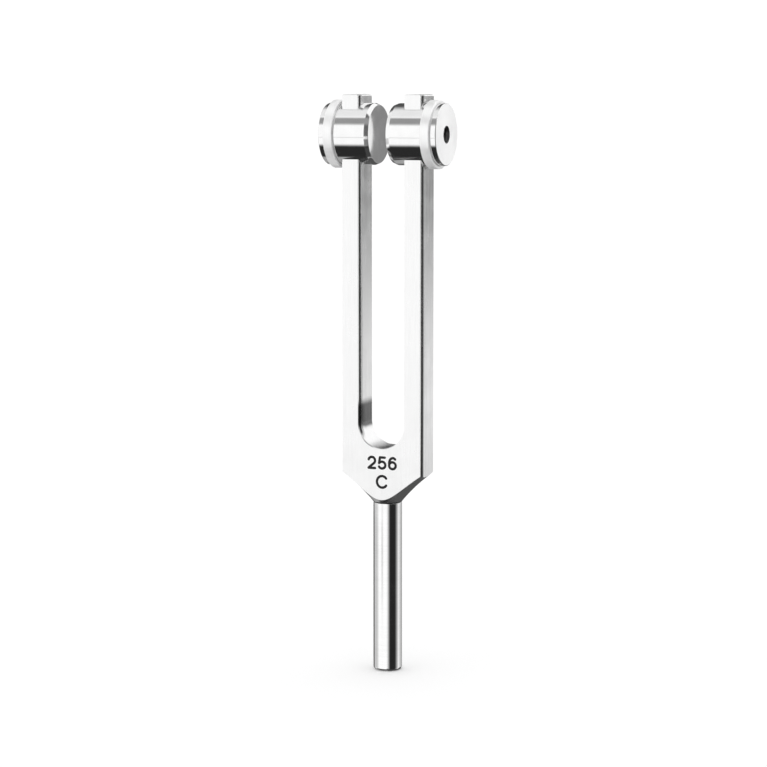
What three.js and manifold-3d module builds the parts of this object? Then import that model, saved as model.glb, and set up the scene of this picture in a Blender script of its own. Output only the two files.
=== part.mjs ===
// A weighted tuning fork, 256 Hz, in millimetres with +Z up along the stem and -Y to the front.
// The origin is the centre of the stem's foot. The two prongs stand side by side along X.
import * as THREE from "three";
import { mergeVertices } from "three/addons/utils/BufferGeometryUtils.js";
import Module from "manifold-3d";

// Driving dimensions.
const OVERALL_LENGTH = 150;
const FORK_WIDTH = 21.8; // over both prongs, along X
const FORK_DEPTH = 9; // of the plate, along Y
const SLOT_WIDTH = 12.6; // between the prongs
const SLOT_BOTTOM_Z = 59; // lowest point of the round end of the slot
const PRONG_TIP_CHAMFER = 0.3;

const STEM_RADIUS = 3.74;
const STEM_TOP_Z = 44.5; // the shoulder that the yoke sits on
const STEM_FOOT_ROUNDING = 0.8;
const STEM_TOP_CHAMFER = 0.3;
const SPIGOT_RADIUS = 2.5; // the turned end of the stem, held in the yoke
const SPIGOT_LENGTH = 8.2;
const SPIGOT_CLEARANCE = 0.06;
const SHOULDER_GAP = 0.3; // between the stem's shoulder and the yoke

const NECK_RADIUS = 3.85; // where the yoke meets the stem
const FLARE_TOP_Z = 52.4; // where the yoke's flare reaches the plate's corners
const FLARE_SAGITTA = 0.35; // how hollow the flare is

const WEIGHT_Z = 139.86; // the weights' axis, which runs along X
const WEIGHT_RADIUS = 7.9;
const WEIGHT_INNER_X = 2.4; // from the fork's centre plane to the inner end
const WEIGHT_OUTER_X = 16.12;
const WEIGHT_BEVEL = { length: 1.05, drop: 0.4 }; // at the inner end
const WEIGHT_EDGE = 0.15;
const WINDOW_CLEARANCE = 0.15; // round the prong, all the way

const RING_RADIUS = 8.75;
const RING_INNER_X = 12.04;
const RING_OUTER_X = 14.48;
const RING_EDGE = 0.2;
const RING_CLEARANCE = 0.06;

const SCREW_HOLE_RADIUS = 2.1;
const SCREW_RADIUS = 2.02;
const SCREW_LENGTH = 3;
const SCREW_EDGE = 0.25;
const SOCKET_ACROSS_FLATS = 2.5;
const SOCKET_DEPTH = 1.6;
const PAD_RADIUS = 1.95;
const PAD_THICKNESS = 1;
const PAD_EDGE = 0.15;
const PAD_GAP = 0.1; // from the prong's outer face
const SCREW_GAP = 0.05; // from the pad

// Worked out from them.
const HALF_WIDTH = FORK_WIDTH / 2;
const HALF_DEPTH = FORK_DEPTH / 2;
const HALF_SLOT = SLOT_WIDTH / 2;
const NECK_Z = STEM_TOP_Z + SHOULDER_GAP;
const FLARE_TOP_RADIUS = Math.hypot(HALF_WIDTH, HALF_DEPTH); // the plate's corners
const BORE_TOP_Z = STEM_TOP_Z + SPIGOT_LENGTH + SHOULDER_GAP;
const PAD_INNER_X = HALF_WIDTH + PAD_GAP;
const SCREW_INNER_X = PAD_INNER_X + PAD_THICKNESS + SCREW_GAP;

// How finely curves are divided.
const TURNED_SIDES = 72;
const SMALL_SIDES = 36;
const FLARE_STEPS = 8;
const FOOT_STEPS = 6;

const BEYOND = 1; // how far a cutting tool runs past the face it cuts
const SAME_POINT = 1e-4; // vertices nearer than this are one

const wasm = await Module();
wasm.setup();

// A closed geometry as a solid that can be joined and cut.
function solid(geometry) {
  const bare = geometry.clone();
  bare.deleteAttribute("normal");
  bare.deleteAttribute("uv");
  const merged = mergeVertices(bare, SAME_POINT);
  return new wasm.Manifold(
    new wasm.Mesh({
      numProp: 3,
      vertProperties: new Float32Array(merged.attributes.position.array),
      triVerts: new Uint32Array(merged.index.array),
    }),
  );
}

function namedMesh(name, shape, material) {
  const { vertProperties, triVerts } = shape.getMesh();
  const geometry = new THREE.BufferGeometry();
  geometry.setAttribute("position", new THREE.BufferAttribute(vertProperties, 3));
  geometry.setIndex(new THREE.BufferAttribute(triVerts, 1));
  geometry.computeVertexNormals();
  const made = new THREE.Mesh(geometry, material);
  made.name = name;
  return made;
}

// A turned solid about Z, from [radius, height] pairs that run upwards from the axis and back to it.
function turnedAboutZ(profile, sides) {
  const points = profile.map(([radius, height]) => new THREE.Vector2(radius, height));
  return solid(new THREE.LatheGeometry(points, sides).rotateX(Math.PI / 2));
}

// The same about X, with each height an X.
function turnedAboutX(profile, sides) {
  const points = profile.map(([radius, x]) => new THREE.Vector2(radius, x));
  return solid(new THREE.LatheGeometry(points, sides).rotateZ(-Math.PI / 2));
}

function box(low, high) {
  const size = high.map((value, axis) => value - low[axis]);
  const middle = high.map((value, axis) => (value + low[axis]) / 2);
  return solid(new THREE.BoxGeometry(...size).translate(...middle));
}

// Points on the arc from one point to another that bows to its left by the sagitta.
function arc([x0, y0], [x1, y1], sagitta, steps) {
  const chord = Math.hypot(x1 - x0, y1 - y0);
  const radius = (chord * chord) / (8 * sagitta) + sagitta / 2;
  const normal = [-(y1 - y0) / chord, (x1 - x0) / chord];
  const reach = sagitta - radius; // from the chord's middle to the arc's centre, along the normal
  const centre = [(x0 + x1) / 2 + normal[0] * reach, (y0 + y1) / 2 + normal[1] * reach];
  const half = Math.asin(chord / 2 / radius);
  const middle = Math.atan2(normal[1], normal[0]);
  return Array.from({ length: steps + 1 }, (_, i) => {
    const angle = middle + half - (2 * half * i) / steps;
    return [centre[0] + radius * Math.cos(angle), centre[1] + radius * Math.sin(angle)];
  });
}

// The plate that the fork is cut from: two prongs and the yoke, seen from the front.
function plate() {
  const tip = OVERALL_LENGTH - PRONG_TIP_CHAMFER;
  const outline = new THREE.Shape();
  outline.moveTo(-HALF_WIDTH, NECK_Z);
  outline.lineTo(HALF_WIDTH, NECK_Z);
  outline.lineTo(HALF_WIDTH, tip);
  outline.lineTo(HALF_WIDTH - PRONG_TIP_CHAMFER, OVERALL_LENGTH);
  outline.lineTo(HALF_SLOT + PRONG_TIP_CHAMFER, OVERALL_LENGTH);
  outline.lineTo(HALF_SLOT, tip);
  outline.lineTo(HALF_SLOT, SLOT_BOTTOM_Z + HALF_SLOT);
  outline.absarc(0, SLOT_BOTTOM_Z + HALF_SLOT, HALF_SLOT, 0, Math.PI, true);
  outline.lineTo(-HALF_SLOT, tip);
  outline.lineTo(-HALF_SLOT - PRONG_TIP_CHAMFER, OVERALL_LENGTH);
  outline.lineTo(-HALF_WIDTH + PRONG_TIP_CHAMFER, OVERALL_LENGTH);
  outline.lineTo(-HALF_WIDTH, tip);
  outline.closePath();
  const geometry = new THREE.ExtrudeGeometry(outline, {
    depth: FORK_DEPTH,
    bevelEnabled: false,
    curveSegments: SMALL_SIDES,
  });
  return solid(geometry.rotateX(Math.PI / 2).translate(0, HALF_DEPTH, 0));
}

// The flared surface that the yoke is turned to, as the solid inside it.
function flare() {
  const flank = arc([NECK_RADIUS, NECK_Z], [FLARE_TOP_RADIUS, FLARE_TOP_Z], FLARE_SAGITTA, FLARE_STEPS);
  const [[beforeRadius, beforeZ], [endRadius, endZ]] = flank.slice(-2);
  const clear = FLARE_TOP_RADIUS + BEYOND;
  const clearZ = endZ + ((clear - endRadius) * (endZ - beforeZ)) / (endRadius - beforeRadius);
  const top = OVERALL_LENGTH + BEYOND;
  return turnedAboutZ([[0, NECK_Z], ...flank, [clear, clearZ], [clear, top], [0, top]], TURNED_SIDES);
}

function forkBody() {
  const bore = turnedAboutZ(
    [
      [0, NECK_Z - BEYOND],
      [SPIGOT_RADIUS + SPIGOT_CLEARANCE, NECK_Z - BEYOND],
      [SPIGOT_RADIUS + SPIGOT_CLEARANCE, BORE_TOP_Z],
      [0, BORE_TOP_Z],
    ],
    SMALL_SIDES,
  );
  return plate().intersect(flare()).subtract(bore);
}

function stem() {
  const foot = Array.from({ length: FOOT_STEPS + 1 }, (_, i) => {
    const angle = (i / FOOT_STEPS) * (Math.PI / 2);
    return [
      STEM_RADIUS - STEM_FOOT_ROUNDING * (1 - Math.sin(angle)),
      STEM_FOOT_ROUNDING * (1 - Math.cos(angle)),
    ];
  });
  return turnedAboutZ(
    [
      [0, 0],
      ...foot,
      [STEM_RADIUS, STEM_TOP_Z - STEM_TOP_CHAMFER],
      [STEM_RADIUS - STEM_TOP_CHAMFER, STEM_TOP_Z],
      [SPIGOT_RADIUS, STEM_TOP_Z],
      [SPIGOT_RADIUS, STEM_TOP_Z + SPIGOT_LENGTH - STEM_TOP_CHAMFER],
      [SPIGOT_RADIUS - STEM_TOP_CHAMFER, STEM_TOP_Z + SPIGOT_LENGTH],
      [0, STEM_TOP_Z + SPIGOT_LENGTH],
    ],
    SMALL_SIDES,
  );
}

// A clamped weight for the +X prong, about its own axis, with the window that the prong passes through.
function weight() {
  const bevelX = WEIGHT_INNER_X + WEIGHT_BEVEL.length;
  const turned = turnedAboutX(
    [
      [0, WEIGHT_INNER_X],
      [WEIGHT_RADIUS - WEIGHT_BEVEL.drop, WEIGHT_INNER_X],
      [WEIGHT_RADIUS, bevelX],
      [WEIGHT_RADIUS, WEIGHT_OUTER_X - WEIGHT_EDGE],
      [WEIGHT_RADIUS - WEIGHT_EDGE, WEIGHT_OUTER_X],
      [0, WEIGHT_OUTER_X],
    ],
    TURNED_SIDES,
  );
  const windowY = HALF_DEPTH + WINDOW_CLEARANCE;
  const windowZ = WEIGHT_RADIUS + BEYOND;
  const window = box(
    [HALF_SLOT - WINDOW_CLEARANCE, -windowY, -windowZ],
    [HALF_WIDTH + WINDOW_CLEARANCE, windowY, windowZ],
  );
  const screwHole = turnedAboutX(
    [
      [0, HALF_WIDTH],
      [SCREW_HOLE_RADIUS, HALF_WIDTH],
      [SCREW_HOLE_RADIUS, WEIGHT_OUTER_X + BEYOND],
      [0, WEIGHT_OUTER_X + BEYOND],
    ],
    SMALL_SIDES,
  );
  return turned.subtract(window).subtract(screwHole);
}

// The plain raised ring round the weight, near its outer end.
function ring() {
  const bore = WEIGHT_RADIUS + RING_CLEARANCE;
  return turnedAboutX(
    [
      [bore, RING_INNER_X],
      [RING_RADIUS - RING_EDGE, RING_INNER_X],
      [RING_RADIUS, RING_INNER_X + RING_EDGE],
      [RING_RADIUS, RING_OUTER_X - RING_EDGE],
      [RING_RADIUS - RING_EDGE, RING_OUTER_X],
      [bore, RING_OUTER_X],
      [bore, RING_INNER_X],
    ],
    TURNED_SIDES,
  );
}

// A headless screw with a hexagon socket in its outer end.
function setScrew() {
  const outer = SCREW_INNER_X + SCREW_LENGTH;
  const shank = turnedAboutX(
    [
      [0, SCREW_INNER_X],
      [SCREW_RADIUS - SCREW_EDGE, SCREW_INNER_X],
      [SCREW_RADIUS, SCREW_INNER_X + SCREW_EDGE],
      [SCREW_RADIUS, outer - SCREW_EDGE],
      [SCREW_RADIUS - SCREW_EDGE, outer],
      [0, outer],
    ],
    SMALL_SIDES,
  );
  const socketRadius = SOCKET_ACROSS_FLATS / Math.sqrt(3);
  const socketLength = SOCKET_DEPTH + BEYOND;
  const socket = new THREE.CylinderGeometry(socketRadius, socketRadius, socketLength, 6);
  socket.rotateZ(-Math.PI / 2).translate(outer - SOCKET_DEPTH + socketLength / 2, 0, 0);
  return shank.subtract(solid(socket));
}

// The soft disc between the screw and the prong, so that the screw doesn't mark the prong.
function pad() {
  const outer = PAD_INNER_X + PAD_THICKNESS;
  return turnedAboutX(
    [
      [0, PAD_INNER_X],
      [PAD_RADIUS - PAD_EDGE, PAD_INNER_X],
      [PAD_RADIUS, PAD_INNER_X + PAD_EDGE],
      [PAD_RADIUS, outer],
      [0, outer],
    ],
    SMALL_SIDES,
  );
}

function metal(color, roughness) {
  return new THREE.MeshStandardMaterial({ color, roughness, metalness: 1 });
}

// The pieces of one weight, turned to face the other way for the left prong.
function weightSet(side, turn) {
  const set = new THREE.Group();
  set.add(
    namedMesh(side + "_weight", weight(), metal(0xd9dadc, 0.18)),
    namedMesh(side + "_ring", ring(), metal(0xe2e3e4, 0.45)),
    namedMesh(side + "_set_screw", setScrew(), metal(0x4a4b4e, 0.4)),
    namedMesh(side + "_pad", pad(), metal(0xb89b5e, 0.4)),
  );
  set.position.z = WEIGHT_Z;
  set.rotation.z = turn;
  return set;
}

const tuningFork = new THREE.Group();
tuningFork.add(
  namedMesh("fork_body", forkBody(), metal(0xdfe0e2, 0.35)),
  namedMesh("stem", stem(), metal(0xd6d7d9, 0.2)),
  weightSet("right", 0),
  weightSet("left", Math.PI),
);

export default tuningFork;
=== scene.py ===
import math

import bmesh
import bpy
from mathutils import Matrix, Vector


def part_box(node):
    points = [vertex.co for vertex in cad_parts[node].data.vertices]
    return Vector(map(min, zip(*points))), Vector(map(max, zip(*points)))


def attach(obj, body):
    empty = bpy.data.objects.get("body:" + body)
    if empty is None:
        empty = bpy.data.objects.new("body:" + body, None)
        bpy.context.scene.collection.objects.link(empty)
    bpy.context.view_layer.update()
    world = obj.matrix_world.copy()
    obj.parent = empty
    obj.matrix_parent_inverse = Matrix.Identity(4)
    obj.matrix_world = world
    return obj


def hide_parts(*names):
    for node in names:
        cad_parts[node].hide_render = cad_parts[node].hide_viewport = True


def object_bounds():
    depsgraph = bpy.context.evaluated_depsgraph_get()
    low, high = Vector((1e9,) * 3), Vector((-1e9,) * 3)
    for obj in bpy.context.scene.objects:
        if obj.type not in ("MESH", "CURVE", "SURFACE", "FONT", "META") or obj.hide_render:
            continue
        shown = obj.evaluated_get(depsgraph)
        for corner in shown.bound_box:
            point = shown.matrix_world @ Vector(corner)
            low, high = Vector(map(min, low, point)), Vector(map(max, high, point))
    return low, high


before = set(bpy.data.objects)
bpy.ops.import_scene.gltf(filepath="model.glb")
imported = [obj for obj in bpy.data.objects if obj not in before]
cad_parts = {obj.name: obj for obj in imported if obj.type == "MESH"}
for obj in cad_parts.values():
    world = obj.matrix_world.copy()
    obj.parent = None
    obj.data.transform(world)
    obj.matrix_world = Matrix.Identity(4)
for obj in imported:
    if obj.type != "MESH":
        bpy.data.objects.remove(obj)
cad_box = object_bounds()

MM = 0.001
X_AXIS = Vector((1, 0, 0))
Z_AXIS = Vector((0, 0, 1))

# Camera, seen from the foot of the fork. Angles are in degrees, and lengths are shares of its height.
CAMERA_AZIMUTH = 22.37
CAMERA_ELEVATION = 7.2
CAMERA_DISTANCE = 4.217
CAMERA_AIM_UP = 0.5035
CAMERA_AIM_RIGHT = -0.00732
CAMERA_LENS = 114.5

# Shapes that the frame doesn't say.
FLARE_SAGITTA = 0.35 * MM
EDGE_CHAMFER = 0.2 * MM
EASED_DEPTH = 4.6 * MM  # how far back from the front edge the sides lean
EASED_MOST = 0.6
TIP_ROUNDING = 0.4 * MM
TIP_BACK_ROUNDING = 0.9 * MM
BORE_RADIUS = 2.56 * MM
BORE_TOP = 53.0 * MM
STEM_FOOT_ROUNDING = 0.8 * MM
STEM_EDGE_ROUNDING = 0.1 * MM
SPIGOT_RADIUS = 2.5 * MM
SPIGOT_LENGTH = 8.2 * MM

WEIGHT_BEVEL_LENGTH = 1.05 * MM
WEIGHT_BEVEL_DROP = 0.4 * MM
WEIGHT_BEVEL_ROUNDING = 0.12 * MM
WEIGHT_EDGE_ROUNDING = 0.22 * MM
WINDOW_CLEARANCE = 0.15 * MM
WINDOW_ROUNDING = 0.35 * MM
RING_EDGE_ROUNDING = 0.2 * MM
RING_CLEARANCE = 0.06 * MM

THREAD_PITCH = 0.8 * MM
THREAD_DEPTH = 0.12 * MM
THREAD_STEEPNESS = 2.6
THREAD_ROOT_SHARE = 0.5
HOLE_CREST = 2.05 * MM
HOLE_MOUTH_DEPTH = 0.35 * MM
HOLE_MOUTH_RADIUS = 2.2 * MM
HOLE_MOUTH_CHAMFER = 0.06 * MM
HOLE_REACH = 2.6 * MM  # from the axis, past every surface of the hole
SCREW_CHAMFER = 0.3 * MM
SOCKET_ACROSS_FLATS = 2.5 * MM
SOCKET_DEPTH = 1.6 * MM
SOCKET_FLOOR_SHARE = 0.8  # of the socket's corner radius, where the drill's cone begins
SOCKET_CONE_DEPTH = 1.25  # of the socket's depth
SOCKET_MOUTH = 0.12 * MM
SOCKET_MOUTH_SHARE = 0.9
SOCKET_MOUTH_PAST = 0.05 * MM
PAD_EDGE_ROUNDING = 0.2 * MM

# The pitch mark, on the front of the yoke.
MARK_STROKE = 0.68 * MM
MARK_RIGHT = 0.27 * MM
MARK_DEPTH = 0.15 * MM
MARK_FILL_DROP = 0.02 * MM
DIGIT_HEIGHT = 3.55 * MM
DIGIT_WIDTH = 2.5 * MM
DIGIT_PITCH = 2.88 * MM
DIGITS_MIDDLE = 55.34 * MM
NOTE_HEIGHT = 3.7 * MM
NOTE_WIDTH = 3.55 * MM
NOTE_MIDDLE = 50.4 * MM

# A painted shade: a dark patch low on the left wall of the slot, between the prongs.
SLOT_SHADE_LOW = 64.3 * MM
SLOT_SHADE_HIGH = 70.7 * MM
SLOT_SHADE_EDGE = 1.2 * MM  # how far each end fades, either way

# How finely shapes are divided.
FINE_SIDES = 192
SMALL_SIDES = 96
ARC_STEPS = 72
FLARE_STEPS = 24
ROUNDING_STEPS = 5
CAP_STEPS = 10
THREAD_STEPS = 12  # in each turn
SLICES = 8

SHARP_ANGLE = 30  # degrees; a sharper edge is chamfered, and shaded sharp
BEYOND = 1 * MM  # how far a cutting tool runs past what it cuts
NEAR = 0.05 * MM
FACE_MARGIN = 0.01 * MM  # for telling which end face a polygon is on

FLOOR_REACH = 20
FLOOR_GAP = 0.02 * MM


# ---------------------------------------------------------------- outlines

def arc(centre, radius, start, end, steps):
    """Points on an arc, from one angle to another in degrees."""
    angles = [math.radians(start + (end - start) * i / steps) for i in range(steps + 1)]
    return [(centre[0] + radius * math.cos(a), centre[1] + radius * math.sin(a)) for a in angles]


def rounded(corners, closed=False):
    """An outline from (u, v, rounding) corners, each rounding drawn as an arc."""
    points = []
    count = len(corners)
    for i, (u, v, rounding) in enumerate(corners):
        here = Vector((u, v))
        if rounding == 0 or (not closed and i in (0, count - 1)):
            points.append((u, v))
            continue
        before = (Vector(corners[i - 1][:2]) - here).normalized()
        after = (Vector(corners[(i + 1) % count][:2]) - here).normalized()
        half = before.angle(after) / 2
        reach = rounding / math.tan(half)
        centre = here + (before + after).normalized() * rounding / math.sin(half)
        start = here + before * reach - centre
        end = here + after * reach - centre
        turn = math.atan2(start.x * end.y - start.y * end.x, start.dot(end))
        first = math.atan2(start.y, start.x)
        for step in range(ROUNDING_STEPS + 1):
            angle = first + turn * step / ROUNDING_STEPS
            points.append((centre.x + rounding * math.cos(angle), centre.y + rounding * math.sin(angle)))
    return points


def bowed(start, end, sagitta, steps):
    """Points on the arc from start to end that bows to its left by the sagitta."""
    start, end = Vector(start), Vector(end)
    chord = (end - start).length
    radius = chord * chord / (8 * sagitta) + sagitta / 2
    normal = Vector((start.y - end.y, end.x - start.x)) / chord
    centre = (start + end) / 2 + normal * (sagitta - radius)
    half = math.degrees(math.asin(chord / 2 / radius))
    middle = math.degrees(math.atan2(normal.y, normal.x))
    return arc(centre, radius, middle + half, middle - half, steps)


# ---------------------------------------------------------------- solids

def piece(name, bm):
    """A mesh object from a bmesh, with its faces pointing out."""
    bmesh.ops.remove_doubles(bm, verts=bm.verts, dist=1e-8)
    bmesh.ops.recalc_face_normals(bm, faces=bm.faces)
    mesh = bpy.data.meshes.new(name)
    bm.to_mesh(mesh)
    bm.free()
    made = bpy.data.objects.new(name, mesh)
    bpy.context.scene.collection.objects.link(made)
    return made


def extruded(name, outline, low, high, place):
    """A prism on a closed outline of (u, v) points; place turns (u, v, w) into a point."""
    bm = bmesh.new()
    ends = [[bm.verts.new(place(u, v, w)) for u, v in outline] for w in (low, high)]
    bm.faces.new(ends[0])
    bm.faces.new(ends[1])
    count = len(outline)
    for i in range(count):
        j = (i + 1) % count
        bm.faces.new((ends[0][i], ends[0][j], ends[1][j], ends[1][i]))
    return piece(name, bm)


def turned(name, profile, sides, axis, centre=(0, 0, 0), closed=False):
    """A solid turned about X or Z from (radius, along) points. A closed profile makes a ring."""
    centre = Vector(centre)
    across, up = (Vector((0, 1, 0)), Z_AXIS) if axis == X_AXIS else (X_AXIS, Vector((0, 1, 0)))
    bm = bmesh.new()
    rows = []
    for radius, along in profile:
        if radius < 1e-9:
            rows.append([bm.verts.new(centre + axis * along)])
            continue
        row = []
        for side in range(sides):
            angle = 2 * math.pi * side / sides
            spoke = across * math.cos(angle) + up * math.sin(angle)
            row.append(bm.verts.new(centre + axis * along + spoke * radius))
        rows.append(row)
    pairs = list(zip(rows, rows[1:]))
    if closed:
        pairs.append((rows[-1], rows[0]))
    for below, above in pairs:
        for i in range(sides):
            j = (i + 1) % sides
            corners = [row[k % len(row)] for row, k in ((below, i), (below, j), (above, j), (above, i))]
            corners = list(dict.fromkeys(corners))
            if len(corners) > 2:
                bm.faces.new(corners)
    return piece(name, bm)


def threaded(name, root, crest, start, end, chamfer, middle):
    """A rod along X with a helical thread between two radii, its ends drawn in to a chamfer."""
    steps = round((end - start) / THREAD_PITCH * THREAD_STEPS)
    bm = bmesh.new()
    rows = []
    for step in range(steps + 1):
        x = start + (end - start) * step / steps
        row = []
        for side in range(SMALL_SIDES):
            turn = side / SMALL_SIDES
            phase = (x * (1 / THREAD_PITCH) - turn) % 1
            height = min(1.0, max(0.0, (0.5 - abs(phase - 0.5)) * THREAD_STEEPNESS - THREAD_ROOT_SHARE))
            radius = root + (crest - root) * height
            reach = min(x - start, end - x)
            if chamfer > 0:
                radius = min(radius, crest - chamfer + reach)
            angle = 2 * math.pi * turn
            across, up = radius * math.cos(angle), radius * math.sin(angle)
            row.append(bm.verts.new((x, middle[1] + across, middle[2] + up)))
        rows.append(row)
    for below, above in zip(rows, rows[1:]):
        for i in range(SMALL_SIDES):
            j = (i + 1) % SMALL_SIDES
            bm.faces.new((below[i], below[j], above[j], above[i]))
    bm.faces.new(rows[0])
    bm.faces.new(rows[-1])
    return piece(name, bm)


def applied(obj):
    """The object with its modifiers applied."""
    bpy.context.view_layer.update()
    evaluated = obj.evaluated_get(bpy.context.evaluated_depsgraph_get())
    mesh = bpy.data.meshes.new_from_object(evaluated)
    obj.modifiers.clear()
    obj.data = mesh
    return obj


def combined(obj, operation, *tools):
    """Joins, cuts or intersects obj with each tool, and deletes the tools."""
    for tool in tools:
        modifier = obj.modifiers.new("combine", "BOOLEAN")
        modifier.operation = operation
        modifier.solver = "EXACT"
        modifier.object = tool
        applied(obj)
        bpy.data.objects.remove(tool)
    return obj


def sliced(obj, heights):
    """Divides the faces at each height, so that no face is long or hooked."""
    bm = bmesh.new()
    bm.from_mesh(obj.data)
    for height in heights:
        geometry = bm.verts[:] + bm.edges[:] + bm.faces[:]
        bmesh.ops.bisect_plane(bm, geom=geometry, dist=1e-7, plane_co=(0, 0, height), plane_no=Z_AXIS)
    bm.to_mesh(obj.data)
    bm.free()
    return obj


def chamfered(obj, width, kept):
    """Chamfers the sharp edges, but for those that are kept."""
    bm = bmesh.new()
    bm.from_mesh(obj.data)
    weights = bm.edges.layers.float.new("bevel_weight_edge")
    for edge in bm.edges:
        if edge.calc_face_angle(0) > math.radians(SHARP_ANGLE):
            edge[weights] = 0 if kept(edge) else 1
    bm.to_mesh(obj.data)
    bm.free()
    bevel = obj.modifiers.new("chamfer", "BEVEL")
    bevel.width = width
    bevel.segments = 1
    bevel.limit_method = "WEIGHT"
    bevel.use_clamp_overlap = False
    return applied(obj)


def smoothed(obj):
    """Smooth shading, but for the sharp edges, with the large faces kept flat."""
    for polygon in obj.data.polygons:
        polygon.use_smooth = True
    obj.data.set_sharp_from_angle(angle=math.radians(SHARP_ANGLE))
    normals = obj.modifiers.new("normals", "WEIGHTED_NORMAL")
    normals.weight = 100
    normals.keep_sharp = True
    return applied(obj)


# ---------------------------------------------------------------- fork

def fork_facts():
    """What the CAD fork's own vertices say about its slot and flare."""
    low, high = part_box("fork_body")
    corners = [v.co.copy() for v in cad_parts["fork_body"].data.vertices]
    front = [c for c in corners if abs(c.y - low.y) < NEAR]
    half_slot = min(abs(c.x) for c in front if c.z > (low.z + high.z) / 2)
    slot_bottom = max(c.z for c in front if abs(c.x) < NEAR)
    neck = max(math.hypot(c.x, c.y) for c in corners if c.z - low.z < NEAR)
    flare_top = min(c.z for c in front if high.x - abs(c.x) < NEAR)
    return low, high, half_slot, slot_bottom, neck, flare_top


def plate(low, high, half_slot, slot_bottom):
    """The two prongs and the yoke, cut from plate."""
    slot_centre = slot_bottom + half_slot
    right = rounded([
        (half_slot, slot_centre, 0),
        (half_slot, high.z, TIP_ROUNDING),
        (high.x, high.z, TIP_ROUNDING),
        (high.x, low.z, 0),
    ])
    left = [(-x, z) for x, z in reversed(right)]
    slot_end = arc((0, slot_centre), half_slot, 180, 360, ARC_STEPS)[1:-1]
    outline = left + slot_end + right
    return extruded("fork_body_visual", outline, low.y, high.y, lambda u, v, w: (u, w, v))


def side_profile(low, high):
    """The plate's outline from the side, where the back edge of the prong tips is well rounded."""
    outline = rounded([
        (low.y - BEYOND, low.z - BEYOND, 0),
        (high.y, low.z - BEYOND, 0),
        (high.y, high.z, TIP_BACK_ROUNDING),
        (low.y - BEYOND, high.z, 0),
    ], closed=True)
    reach = high.x + BEYOND
    return extruded("side_profile", outline, -reach, reach, lambda u, v, w: (w, u, v))


def flare(low, high, neck, flare_top):
    """The solid inside the hollow cone that the yoke is turned to."""
    flank = bowed((neck, low.z), (math.hypot(high.x, high.y), flare_top), FLARE_SAGITTA, FLARE_STEPS)
    slope = (flank[-1][1] - flank[-2][1]) / (flank[-1][0] - flank[-2][0])
    clear = flank[-1][0] + BEYOND
    top = high.z + BEYOND
    profile = [(0, low.z)] + flank + [(clear, flank[-1][1] + BEYOND * slope), (clear, top), (0, top)]
    return turned("flare", profile, FINE_SIDES, Z_AXIS)


def left_sharp(edge):
    """Whether an edge of the fork stays sharp: the back's, the flare's and the engraved mark's."""
    if any(face.normal.z < -0.3 for face in edge.link_faces):
        return True
    if all(vertex.co.y > 0 for vertex in edge.verts):
        return True
    bottom = NOTE_MIDDLE - NOTE_HEIGHT / 2
    top = DIGITS_MIDDLE + DIGIT_HEIGHT / 2
    reach = MARK_RIGHT + DIGIT_PITCH + DIGIT_WIDTH / 2
    corners = [vertex.co for vertex in edge.verts]
    return all(abs(c.x) <= reach and bottom <= c.z <= top and c.y < 0 for c in corners)


def fork_body():
    """The prongs and yoke in one piece, and the enamel in their pitch mark."""
    low, high, half_slot, slot_bottom, neck, flare_top = fork_facts()
    body = plate(low, high, half_slot, slot_bottom)
    combined(body, "INTERSECT", flare(low, high, neck, flare_top), side_profile(low, high))
    bore = [(0, low.z - BEYOND), (BORE_RADIUS, low.z - BEYOND), (BORE_RADIUS, BORE_TOP), (0, BORE_TOP)]
    combined(body, "DIFFERENCE", turned("bore", bore, SMALL_SIDES, Z_AXIS))
    mark = pitch_mark(body)
    slot_centre = slot_bottom + half_slot
    above = high.z - slot_centre
    sliced(body, [slot_centre + above * share / SLICES for share in range(SLICES)])
    return smoothed(chamfered(body, EDGE_CHAMFER, left_sharp)), mark


def stem():
    """The handle, painted dark from the shoulder up, where the yoke sits on it: painted shade for the gap
    under the yoke.
    """
    low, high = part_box("stem")
    radius = high.x
    shoulder = high.z - SPIGOT_LENGTH
    profile = rounded([
        (0, low.z, 0),
        (radius, low.z, STEM_FOOT_ROUNDING),
        (radius, shoulder, STEM_EDGE_ROUNDING),
        (SPIGOT_RADIUS, shoulder, 0),
        (SPIGOT_RADIUS, high.z, STEM_EDGE_ROUNDING),
        (0, high.z, 0),
    ])
    made = turned("stem_visual", profile, FINE_SIDES, Z_AXIS)
    # Faces from the shoulder up take the second material, painted dark as shade.
    for polygon in made.data.polygons:
        if polygon.center.z > shoulder - FACE_MARGIN:
            polygon.material_index = 1
    return smoothed(made)


# ---------------------------------------------------------------- pitch mark

def stroke(name, line, low, high):
    """A round-ended stroke along a line of (x, z) points, from y = low to high."""
    half = MARK_STROKE / 2
    count = len(line)
    sides = ([], [])
    for i, point in enumerate(line):
        here = Vector(point)
        before = Vector(line[max(i - 1, 0)])
        after = Vector(line[min(i + 1, count - 1)])
        along = (after - before).normalized()
        across = Vector((-along.y, along.x)) * half
        sides[0].append(tuple(here + across))
        sides[1].append(tuple(here - across))
    first = math.degrees(math.atan2(line[1][1] - line[0][1], line[1][0] - line[0][0]))
    last = math.degrees(math.atan2(line[-1][1] - line[-2][1], line[-1][0] - line[-2][0]))
    end_cap = arc(line[-1], half, last + 90, last - 90, CAP_STEPS)[1:-1]
    start_cap = arc(line[0], half, first - 90, first - 270, CAP_STEPS)[1:-1]
    outline = sides[0] + end_cap + sides[1][::-1] + start_cap
    return extruded(name, outline, low, high, lambda u, v, w: (u, w, v))


def oval(centre, across, up, start, end, steps=28):
    """Points on an oval's arc, from one angle to another in degrees."""
    return [(centre[0] + across * x, centre[1] + up * z) for x, z in arc((0, 0), 1, start, end, steps)]


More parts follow.
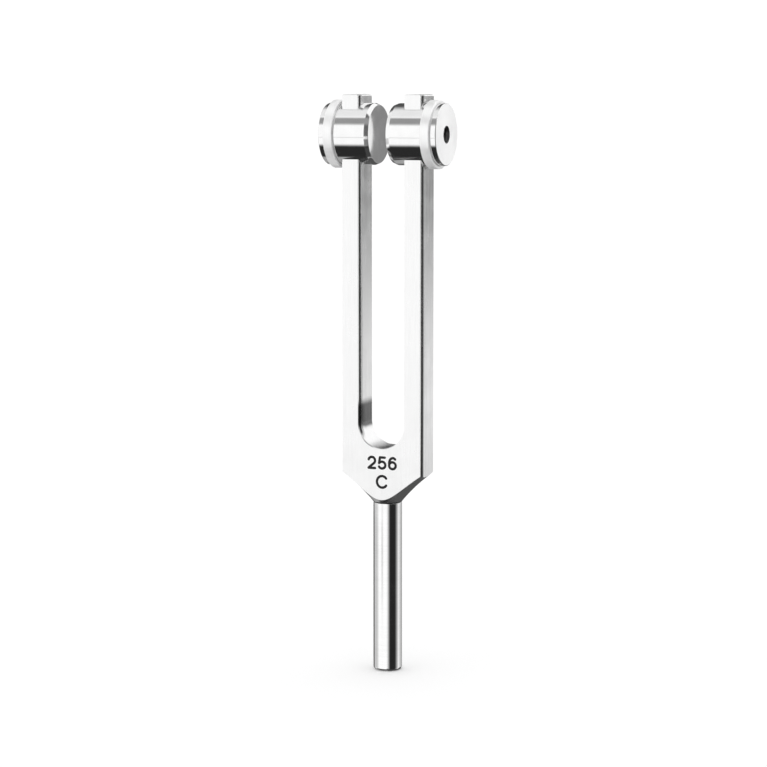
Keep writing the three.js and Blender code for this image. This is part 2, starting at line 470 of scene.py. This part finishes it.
def glyphs():
    """The strokes of 256 over C, as lines of (x, z) points: a plain engraver's alphabet."""
    half = DIGIT_HEIGHT / 2 - MARK_STROKE / 2
    wide = DIGIT_WIDTH / 2 - MARK_STROKE / 2
    top, base, middle = DIGITS_MIDDLE + half, DIGITS_MIDDLE - half, DIGITS_MIDDLE
    x = MARK_RIGHT - DIGIT_PITCH
    hook = (x, top - wide)
    two = [
        oval(hook, wide, wide, 165, -38) + [(x - wide, base)],
        [(x - wide, base), (x + wide, base)],
    ]
    bowl = 0.62 * half
    x = MARK_RIGHT
    five = [
        [(x + 0.8 * wide, top), (x - 0.68 * wide, top)],
        [(x - 0.68 * wide, top), (x - 0.92 * wide, middle + 0.02 * half)],
        oval((x - 0.04 * wide, base + bowl), 1.04 * wide, bowl, 148, -150),
    ]
    x = MARK_RIGHT + DIGIT_PITCH
    six = [
        oval((x, base + bowl), wide, bowl, -5, 185),
        oval((x, base + bowl), wide, bowl, 175, 365),
        oval((x + 0.12 * wide, middle), 1.12 * wide, half, 52, 197),
    ]
    lift = NOTE_HEIGHT / 2 - MARK_STROKE / 2
    reach = NOTE_WIDTH / 2 - MARK_STROKE / 2
    note = [oval((MARK_RIGHT, NOTE_MIDDLE), reach, lift, 38, 322, 48)]
    return {"two": two, "five": five, "six": six, "note": note}


def pitch_mark(body):
    """Cuts the mark into the front of the yoke, and makes the enamel that fills it."""
    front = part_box("fork_body")[0].y
    fills = []
    for name, lines in glyphs().items():
        cutter, fill = None, None
        for i, line in enumerate(lines):
            tool = stroke(f"{name}_cut_{i}", line, front - BEYOND, front + MARK_DEPTH)
            part = stroke(f"{name}_fill_{i}", line, front + MARK_FILL_DROP, front + MARK_DEPTH)
            cutter = tool if cutter is None else combined(cutter, "UNION", tool)
            fill = part if fill is None else combined(fill, "UNION", part)
        combined(body, "DIFFERENCE", cutter)
        fills.append(fill)
    bm = bmesh.new()
    for fill in fills:
        bm.from_mesh(fill.data)
        bpy.data.objects.remove(fill)
    return piece("pitch_mark_enamel", bm)


# ---------------------------------------------------------------- weights

def mirrored(side, x):
    """An x of the right-hand weight, for either side."""
    return x if side == "right" else -x


def weight(side):
    """A barrel with the prong's window and a threaded screw hole in its outer end."""
    low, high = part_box(side + "_weight")
    fork_low, fork_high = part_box("fork_body")
    half_slot = fork_facts()[2]
    inner, outer = sorted((abs(low.x), abs(high.x)))
    radius = high.y
    middle = (0, 0, (low.z + high.z) / 2)
    profile = rounded([
        (0, inner, 0),
        (radius - WEIGHT_BEVEL_DROP, inner, WEIGHT_BEVEL_ROUNDING),
        (radius, inner + WEIGHT_BEVEL_LENGTH, WEIGHT_BEVEL_ROUNDING),
        (radius, outer, WEIGHT_EDGE_ROUNDING),
        (0, outer, 0),
    ])
    profile = [(r, mirrored(side, x)) for r, x in profile]
    made = turned(side + "_weight_visual", profile, FINE_SIDES, X_AXIS, middle)
    corners = [
        (half_slot - WINDOW_CLEARANCE, fork_low.y - WINDOW_CLEARANCE, WINDOW_ROUNDING),
        (fork_high.x + WINDOW_CLEARANCE, fork_low.y - WINDOW_CLEARANCE, WINDOW_ROUNDING),
        (fork_high.x + WINDOW_CLEARANCE, fork_high.y + WINDOW_CLEARANCE, WINDOW_ROUNDING),
        (half_slot - WINDOW_CLEARANCE, fork_high.y + WINDOW_CLEARANCE, WINDOW_ROUNDING),
    ]
    outline = [(mirrored(side, x), y) for x, y in rounded(corners, closed=True)]
    window = extruded("window", outline, low.z - BEYOND, high.z + BEYOND, lambda u, v, w: (u, v, w))
    start, end = sorted((mirrored(side, fork_high.x), mirrored(side, outer + BEYOND)))
    root = HOLE_CREST + THREAD_DEPTH
    hole = threaded("hole", HOLE_CREST, root, start, end, 0, middle)
    mouth = [
        (0, outer - HOLE_MOUTH_DEPTH),
        (HOLE_MOUTH_RADIUS, outer - HOLE_MOUTH_DEPTH),
        (HOLE_MOUTH_RADIUS, outer - HOLE_MOUTH_CHAMFER),
        (HOLE_MOUTH_RADIUS + 2 * HOLE_MOUTH_CHAMFER, outer + HOLE_MOUTH_CHAMFER),
        (HOLE_MOUTH_RADIUS + 2 * HOLE_MOUTH_CHAMFER, outer + 2 * BEYOND),
        (0, outer + 2 * BEYOND),
    ]
    mouth = turned("mouth", [(r, mirrored(side, x)) for r, x in mouth], SMALL_SIDES, X_AXIS, middle)
    combined(made, "DIFFERENCE", window, hole, mouth)
    for polygon in made.data.polygons:
        spoke = polygon.center - Vector(middle)
        if math.hypot(spoke.y, spoke.z) < HOLE_REACH and abs(spoke.x) > fork_high.x:
            polygon.material_index = 2
        elif abs(polygon.normal.x) > 0.99 and abs(spoke.x) > outer - FACE_MARGIN:
            polygon.material_index = 1
    return smoothed(made)


def ring(side):
    """The plain raised ring round a barrel."""
    low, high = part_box(side + "_ring")
    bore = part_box(side + "_weight")[1].y + RING_CLEARANCE
    inner, outer = sorted((abs(low.x), abs(high.x)))
    middle = (0, 0, (low.z + high.z) / 2)
    profile = rounded([
        (bore, inner, 0),
        (high.y, inner, RING_EDGE_ROUNDING),
        (high.y, outer, RING_EDGE_ROUNDING),
        (bore, outer, 0),
    ], closed=True)
    profile = [(r, mirrored(side, x)) for r, x in profile]
    return smoothed(turned(side + "_ring_visual", profile, FINE_SIDES, X_AXIS, middle, closed=True))


def set_screw(side):
    """The headless screw, with a hexagon socket in its outer end."""
    low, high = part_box(side + "_set_screw")
    middle = (0, 0, (low.z + high.z) / 2)
    crest = high.y
    outer = high.x if side == "right" else low.x
    outward = 1 if side == "right" else -1
    made = threaded(side + "_set_screw_visual", crest - THREAD_DEPTH, crest, low.x, high.x,
                    SCREW_CHAMFER, middle)
    across = SOCKET_ACROSS_FLATS / math.sqrt(3)
    floor_x = outer - outward * SOCKET_DEPTH
    open_x = outer + outward * BEYOND
    socket = [
        (0, outer - outward * SOCKET_DEPTH * SOCKET_CONE_DEPTH),
        (across * SOCKET_FLOOR_SHARE, floor_x),
        (across, floor_x),
        (across, open_x),
        (0, open_x),
    ]
    socket = turned("socket", socket, 6, X_AXIS, middle)
    mouth_x = outer - outward * SOCKET_MOUTH
    past_x = outer + outward * SOCKET_MOUTH_PAST
    mouth = [
        (0, mouth_x),
        (across * SOCKET_MOUTH_SHARE, mouth_x),
        (across + SOCKET_MOUTH, past_x),
        (0, past_x),
    ]
    mouth = turned("mouth", mouth, SMALL_SIDES, X_AXIS, middle)
    combined(made, "DIFFERENCE", socket, mouth)
    return smoothed(made)


def pad(side):
    """The soft disc between the screw and the prong."""
    low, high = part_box(side + "_pad")
    middle = (0, 0, (low.z + high.z) / 2)
    profile = rounded([
        (0, low.x, 0),
        (high.y, low.x, PAD_EDGE_ROUNDING),
        (high.y, high.x, PAD_EDGE_ROUNDING),
        (0, high.x, 0),
    ])
    return smoothed(turned(side + "_pad_visual", profile, SMALL_SIDES, X_AXIS, middle))


# ---------------------------------------------------------------- materials

class Shader:
    """A material's node tree, with short calls for the nodes used here."""

    def __init__(self, name):
        self.material = bpy.data.materials.new(name)
        self.material.use_nodes = True
        self.nodes = self.material.node_tree.nodes
        self.links = self.material.node_tree.links
        self.surface = self.nodes["Principled BSDF"]

    def node(self, kind, inputs=(), **settings):
        made = self.nodes.new("ShaderNode" + kind)
        for key, value in settings.items():
            setattr(made, key, value)
        for key, value in dict(inputs).items():
            self.feed(value, made.inputs[key])
        return made

    def feed(self, value, socket):
        if isinstance(value, bpy.types.NodeSocket):
            self.links.new(value, socket)
        else:
            socket.default_value = value

    def math(self, operation, a, b=0.0):
        return self.node("Math", {0: a, 1: b}, operation=operation).outputs[0]

    def vector(self, operation, a, b=(0, 0, 0)):
        return self.node("VectorMath", {0: a, 1: b}, operation=operation)

    def spread(self, value, low, high, to_low, to_high):
        made = self.node("MapRange", {0: value, 1: low, 2: high, 3: to_low, 4: to_high},
                         interpolation_type="SMOOTHSTEP")
        return made.outputs[0]

    def noise(self, place, scale, detail=2.0, roughness=0.5):
        inputs = {"Vector": place, "Scale": scale, "Detail": detail, "Roughness": roughness}
        return self.node("TexNoise", inputs).outputs["Fac"]

    def set(self, **inputs):
        for key, value in inputs.items():
            self.feed(value, self.surface.inputs[key.replace("_", " ")])


def turned_coordinates(shader, axis, centre):
    """(along, radius, 0) in metres for a turned piece, and the direction across its tool marks."""
    place = shader.node("TexCoord").outputs["Object"]
    spoke = shader.vector("SUBTRACT", place, tuple(centre)).outputs[0]
    along = shader.vector("DOT_PRODUCT", spoke, tuple(axis)).outputs["Value"]
    shadow = shader.node("VectorMath", {0: tuple(axis), "Scale": along}, operation="SCALE").outputs[0]
    radial = shader.vector("SUBTRACT", spoke, shadow).outputs[0]
    radius = shader.vector("LENGTH", radial).outputs["Value"]
    groove = shader.vector("CROSS_PRODUCT", tuple(axis), radial).outputs[0]
    normal = shader.node("NewGeometry").outputs["Normal"]
    tangent = shader.vector("CROSS_PRODUCT", groove, normal).outputs[0]
    marks = shader.node("CombineXYZ", {0: along, 1: radius}).outputs[0]
    return place, marks, tangent


def turned_metal(name, axis, centre, tone, roughness, marks_depth, metallic=1.0, tint=(1, 1, 1)):
    """Turned metal, polished or faced: rings of fine tool marks and faint clouding."""
    shader = Shader(name)
    place, marks, tangent = turned_coordinates(shader, axis, centre)
    fine = shader.noise(marks, 9000.0, 3.0, 0.6)
    broad = shader.noise(marks, 1500.0, 2.0)
    cloud = shader.noise(place, 260.0, 4.0, 0.6)
    level = shader.math("ADD", shader.spread(fine, 0.25, 0.75, -0.03, 0.03), tone)
    level = shader.math("ADD", level, shader.spread(cloud, 0.3, 0.7, -0.02, 0.02))
    tinted = {i: shader.math("MULTIPLY", level, tint[i]) for i in range(3)}
    colour = shader.node("CombineColor", tinted).outputs[0]
    clouded = shader.spread(cloud, 0.35, 0.75, -0.25 * roughness, 0.35 * roughness)
    gloss = shader.math("ADD", clouded, roughness)
    height = shader.math("ADD", fine, shader.math("MULTIPLY", broad, 1.5))
    bump = shader.node("Bump", {"Strength": 1.0, "Distance": marks_depth, "Height": height}).outputs[0]
    shader.set(Base_Color=colour, Metallic=metallic, Roughness=gloss, Anisotropic=0.5,
               Tangent=tangent, Normal=bump)
    return shader.material


def eased(shader, place, normal):
    """A shading normal that leans forward on the sides, most of all beside the front edges."""
    forward = (0, -1, 0)
    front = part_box("fork_body")[0].y
    depth = shader.node("SeparateXYZ", {0: place}).outputs["Y"]
    lean = shader.spread(depth, front, front + EASED_DEPTH, EASED_MOST, 0)
    up = shader.node("SeparateXYZ", {0: normal}).outputs["Z"]
    lean = shader.math("MULTIPLY", lean, shader.math("GREATER_THAN", up, -0.3))
    lean = shader.math("MULTIPLY", lean, shader.spread(up, 0.3, 0.8, 1, 0))
    rest = shader.math("SUBTRACT", 1.0, lean)
    kept = shader.node("VectorMath", {0: normal, "Scale": rest}, operation="SCALE").outputs[0]
    leant = shader.node("VectorMath", {0: forward, "Scale": lean}, operation="SCALE").outputs[0]
    return shader.vector("NORMALIZE", shader.vector("ADD", kept, leant).outputs[0]).outputs[0]


def painted_slot_shade(shader, place, normal, grain):
    """How dark the painted shade makes the fork: a patch low on the left wall of the slot, between the
    prongs.
    """
    part = shader.node("SeparateXYZ", {0: place}).outputs
    patch = shader.spread(part["Z"], SLOT_SHADE_LOW - SLOT_SHADE_EDGE, SLOT_SHADE_LOW + SLOT_SHADE_EDGE, 0, 1)
    top = shader.spread(part["Z"], SLOT_SHADE_HIGH - SLOT_SHADE_EDGE, SLOT_SHADE_HIGH + SLOT_SHADE_EDGE, 1, 0)
    patch = shader.math("MULTIPLY", patch, top)
    patch = shader.math("MULTIPLY", patch, shader.math("LESS_THAN", part["X"], 0.0))
    facing = shader.node("SeparateXYZ", {0: normal}).outputs["X"]
    patch = shader.math("MULTIPLY", patch, shader.math("GREATER_THAN", facing, 0.5))
    return shader.math("MULTIPLY", patch, shader.spread(grain, 0.2, 0.8, 0.8, 0.95))


def brushed_metal(name, tone, roughness):
    """Flat metal with a fine grain along Z, eased front edges and a painted shade low on the slot's left
    wall.
    """
    shader = Shader(name)
    place = shader.node("TexCoord").outputs["Object"]
    normal = shader.node("NewGeometry").outputs["Normal"]
    stretched = shader.vector("MULTIPLY", place, (1, 1, 0.03)).outputs[0]
    grain = shader.noise(stretched, 5200.0, 4.0, 0.65)
    streak = shader.noise(stretched, 900.0, 2.0)
    cloud = shader.noise(place, 190.0, 4.0, 0.6)
    level = shader.math("ADD", shader.spread(grain, 0.25, 0.75, -0.02, 0.02), tone)
    level = shader.math("ADD", level, shader.spread(cloud, 0.3, 0.7, -0.015, 0.015))
    # Painted shade: the base colour is darkened in a patch low on the slot's left wall.
    level = shader.math("MULTIPLY", level, shader.math("SUBTRACT", 1.0, painted_slot_shade(shader, place, normal, grain)))
    colour = shader.node("CombineColor", {0: level, 1: level, 2: level}).outputs[0]
    gloss = shader.math("ADD", shader.spread(cloud, 0.3, 0.7, -0.04, 0.04), roughness)
    gloss = shader.math("ADD", gloss, shader.spread(streak, 0.3, 0.7, -0.02, 0.03))
    bump = shader.node("Bump", {"Strength": 1.0, "Distance": 0.0006 * MM, "Height": grain,
                                "Normal": eased(shader, place, normal)}).outputs[0]
    across = shader.vector("CROSS_PRODUCT", tuple(Z_AXIS), normal).outputs[0]
    shader.set(Base_Color=colour, Metallic=1.0, Roughness=gloss, Anisotropic=0.4, Tangent=across, Normal=bump)
    return shader.material


def enamel(name):
    """Black filler in the engraving, slightly uneven."""
    shader = Shader(name)
    place = shader.node("TexCoord").outputs["Object"]
    grain = shader.noise(place, 4000.0, 3.0)
    level = shader.spread(grain, 0.3, 0.7, 0.006, 0.016)
    colour = shader.node("CombineColor", {0: level, 1: level, 2: level}).outputs[0]
    bump = shader.node("Bump", {"Strength": 0.6, "Distance": 0.01 * MM, "Height": grain}).outputs[0]
    shader.set(Base_Color=colour, Roughness=shader.spread(grain, 0.3, 0.7, 0.45, 0.65), Normal=bump)
    shader.surface.inputs["Specular IOR Level"].default_value = 0.3
    return shader.material


# ---------------------------------------------------------------- studio

def camera():
    """The camera, aimed from the fork's own height."""
    low, high = cad_box
    height = high.z - low.z
    azimuth, elevation = math.radians(CAMERA_AZIMUTH), math.radians(CAMERA_ELEVATION)
    back = Vector((math.sin(azimuth) * math.cos(elevation), -math.cos(azimuth) * math.cos(elevation),
                   math.sin(elevation)))
    right = Vector((math.cos(azimuth), math.sin(azimuth), 0))
    aim = Vector((0, 0, low.z + CAMERA_AIM_UP * height)) + right * CAMERA_AIM_RIGHT * height
    made = bpy.data.objects.new("camera", bpy.data.cameras.new("camera"))
    made.data.lens = CAMERA_LENS
    made.data.sensor_width = 36
    made.data.clip_start, made.data.clip_end = 0.01, 100
    made.location = aim + back * CAMERA_DISTANCE * height
    made.rotation_mode = "QUATERNION"
    made.rotation_quaternion = (-back).to_track_quat("-Z", "Y")
    bpy.context.scene.collection.objects.link(made)
    bpy.context.scene.camera = made


def floor():
    """A plain pale floor that the metal doesn't reflect."""
    bm = bmesh.new()
    corners = ((-1, -1, 0), (1, -1, 0), (1, 1, 0), (-1, 1, 0))
    bm.faces.new([bm.verts.new(Vector(corner) * FLOOR_REACH) for corner in corners])
    made = piece("floor", bm)
    made.location.z = cad_box[0].z - FLOOR_GAP
    shader = Shader("pale_floor")
    shader.set(Base_Color=(0.92, 0.92, 0.92, 1), Roughness=0.9)
    shader.surface.inputs["Specular IOR Level"].default_value = 0.1
    made.data.materials.append(shader.material)
    made.visible_glossy = False


class Studio:
    """The world: a white tent whose cards only reflections see."""

    def __init__(self, brightness):
        self.world = bpy.data.worlds.new("studio")
        bpy.context.scene.world = self.world
        self.world.use_nodes = True
        self.nodes = self.world.node_tree.nodes
        self.links = self.world.node_tree.links
        self.tone = self.value(brightness)
        place = self.nodes.new("ShaderNodeTexCoord").outputs["Generated"]
        turn = self.nodes.new("ShaderNodeVectorRotate")
        turn.rotation_type = "Z_AXIS"
        self.links.new(place, turn.inputs["Vector"])
        turn.inputs["Angle"].default_value = -math.radians(CAMERA_AZIMUTH)
        part = self.split(turn.outputs[0])
        fixed = self.split(place)
        back = self.math("MULTIPLY", part[1], -1.0)
        self.azimuth = self.degrees(self.math("ARCTAN2", part[0], back))
        self.elevation = self.degrees(self.math("ARCSINE", part[2]))
        self.behind = self.math("SUBTRACT", 180.0, self.math("ABSOLUTE", self.azimuth))
        front = self.math("MULTIPLY", fixed[1], -1.0)
        self.roll = self.degrees(self.math("ARCTAN2", fixed[2], front))

    def value(self, number):
        made = self.nodes.new("ShaderNodeValue")
        made.outputs[0].default_value = number
        return made.outputs[0]

    def split(self, vector):
        made = self.nodes.new("ShaderNodeSeparateXYZ")
        self.links.new(vector, made.inputs[0])
        return made.outputs

    def math(self, operation, a, b=0.0):
        made = self.nodes.new("ShaderNodeMath")
        made.operation = operation
        for socket, value in zip(made.inputs, (a, b)):
            if isinstance(value, bpy.types.NodeSocket):
                self.links.new(value, socket)
            else:
                socket.default_value = value
        return made.outputs[0]

    def degrees(self, radians):
        return self.math("MULTIPLY", radians, 180 / math.pi)

    def inside(self, value, low, high, soft_low, soft_high):
        """1 between low and high, and 0 outside them, each edge softened over some degrees."""
        share = None
        for edge, soft, sign in ((low, soft_low, 1), (high, soft_high, -1)):
            made = self.nodes.new("ShaderNodeMapRange")
            made.interpolation_type = "SMOOTHSTEP"
            self.links.new(value, made.inputs[0])
            made.inputs[1].default_value = edge - sign * soft / 2
            made.inputs[2].default_value = edge + sign * soft / 2
            share = made.outputs[0] if share is None else self.math("MULTIPLY", share, made.outputs[0])
        return share

    def card(self, tone, **ranges):
        """A card of that tone, where every direction named is within (low, high, soft_low, soft_high)."""
        share = 1.0
        for name, limits in ranges.items():
            share = self.math("MULTIPLY", share, self.inside(getattr(self, name), *limits))
        gap = self.math("SUBTRACT", tone, self.tone)
        self.tone = self.math("ADD", self.tone, self.math("MULTIPLY", gap, share))

    def lit(self, plain):
        """Cameras and matt surfaces see a plain tent; reflections see the cards."""
        path = self.nodes.new("ShaderNodeLightPath")
        gap = self.math("SUBTRACT", self.tone, plain)
        level = self.math("ADD", self.math("MULTIPLY", gap, path.outputs["Is Glossy Ray"]), plain)
        background = self.nodes["Background"]
        self.links.new(level, background.inputs["Strength"])
        background.inputs["Color"].default_value = (1, 1, 1, 1)


def studio():
    """Cards by where they stand round the fork, in degrees.

    Azimuth runs right from the side the picture is taken from, and behind from the side opposite.
    Roll runs about the X axis, up from the fork's front.
    """
    tent = Studio(1.08)
    tent.card(0.06, elevation=(-95, -38, 6, 16))
    # For upright surfaces.
    tent.card(0.02, azimuth=(4, 86, 34, 56), elevation=(-50, 32, 10, 10))
    tent.card(0.12, azimuth=(-9, 22, 10, 14), elevation=(-7, 80, 3, 10))
    tent.card(0.22, azimuth=(-9, 14, 10, 14), elevation=(-40, -17, 8, 4))
    tent.card(0.90, azimuth=(105, 165, 10, 10), elevation=(-40, -5, 10, 4))
    tent.card(0.25, azimuth=(75, 154, 40, 8), elevation=(-5, 1.5, 5, 3))
    tent.card(0.30, azimuth=(-155, -112, 8, 8), elevation=(-9.5, 8, 2, 6))
    tent.card(0.60, azimuth=(-140, -84, 10, 30), elevation=(-24, -9.5, 6, 2))
    tent.card(0.14, azimuth=(-220, -131, 4, 10), elevation=(-45, -9.5, 8, 2))
    tent.card(0.55, azimuth=(112, 220, 14, 6), elevation=(-30, -9.5, 6, 1.5))
    tent.card(0.22, azimuth=(148, 220, 10, 6), elevation=(-30, -9.5, 6, 1.5))
    tent.card(0.06, behind=(-10, 19, 6, 10), elevation=(2, 23, 2, 4))
    tent.card(0.09, azimuth=(110, 186, 8, 6), elevation=(-80, -19, 10, 4))
    # For the weights, which lie along X.
    tent.card(0.32, roll=(36, 64, 16, 9), elevation=(30, 90, 6, 6))
    tent.card(0.88, roll=(68, 112, 16, 20), elevation=(16, 90, 6, 6), azimuth=(-190, -40, 6, 20))
    tent.card(0.08, roll=(112, 166, 40, 8), elevation=(16, 90, 6, 6), azimuth=(-190, -140, 6, 20))
    tent.card(0.025, roll=(-96, -45, 5, 14), elevation=(-95, -30, 6, 6), azimuth=(-150, -25, 6, 6))
    tent.card(0.38, roll=(-140, -96, 8, 5), elevation=(-95, -30, 6, 6), azimuth=(-190, -100, 6, 6))
    tent.card(0.74, azimuth=(-53, -37, 4, 4), elevation=(-12.2, -10.2, 1.2, 1.2))
    tent.lit(1.14)
    bpy.context.scene.view_settings.view_transform = "Standard"


# ---------------------------------------------------------------- assembly

def dress(obj, node, body, slot, *materials):
    """Gives a piece its materials and the body it rides on, and hides the CAD node it stands for. The slot is
    not used.
    """
    for material in materials:
        obj.data.materials.append(material)
    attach(obj, body)
    if node:
        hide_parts(node)


camera()
floor()
studio()

satin = brushed_metal("fork_satin", 0.91, 0.22)
body, mark = fork_body()
dress(body, "fork_body", "fork", "fork_metal", satin)
dress(mark, None, "fork", None, enamel("mark_enamel"))
# The stem's second material is painted shade: a dark tone for the gap under the yoke.
dress(stem(), "stem", "fork", "stem_metal",
      turned_metal("stem_polish", Z_AXIS, (0, 0, 0), 0.92, 0.07, 0.0002 * MM),
      turned_metal("stem_seat_painted_shade", Z_AXIS, (0, 0, 0), 0.14, 0.5, 0.001 * MM))

weight_low, weight_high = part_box("right_weight")
weight_axis = (0, 0, (weight_low.z + weight_high.z) / 2)
polish = turned_metal("weight_polish", X_AXIS, weight_axis, 0.90, 0.10, 0.0003 * MM)
faced = turned_metal("weight_faced", X_AXIS, weight_axis, 0.93, 0.6, 0.001 * MM, metallic=0.25)
bored = turned_metal("weight_bore", X_AXIS, weight_axis, 0.30, 0.4, 0.001 * MM)
ring_satin = turned_metal("ring_satin", X_AXIS, weight_axis, 0.94, 0.45, 0.001 * MM, metallic=0.45)
dark_steel = turned_metal("screw_oxide", X_AXIS, weight_axis, 0.10, 0.38, 0.002 * MM)
brass = turned_metal("pad_brass", X_AXIS, weight_axis, 0.85, 0.3, 0.002 * MM, tint=(1, 0.78, 0.42))
for side in ("left", "right"):
    dress(weight(side), side + "_weight", side + "_clamp", "weight_metal", polish, faced, bored)
    dress(ring(side), side + "_ring", side + "_clamp", "ring_metal", ring_satin)
    dress(set_screw(side), side + "_set_screw", side + "_screw_body", "screw_steel", dark_steel)
    dress(pad(side), side + "_pad", side + "_pad_body", "pad_brass", brass)
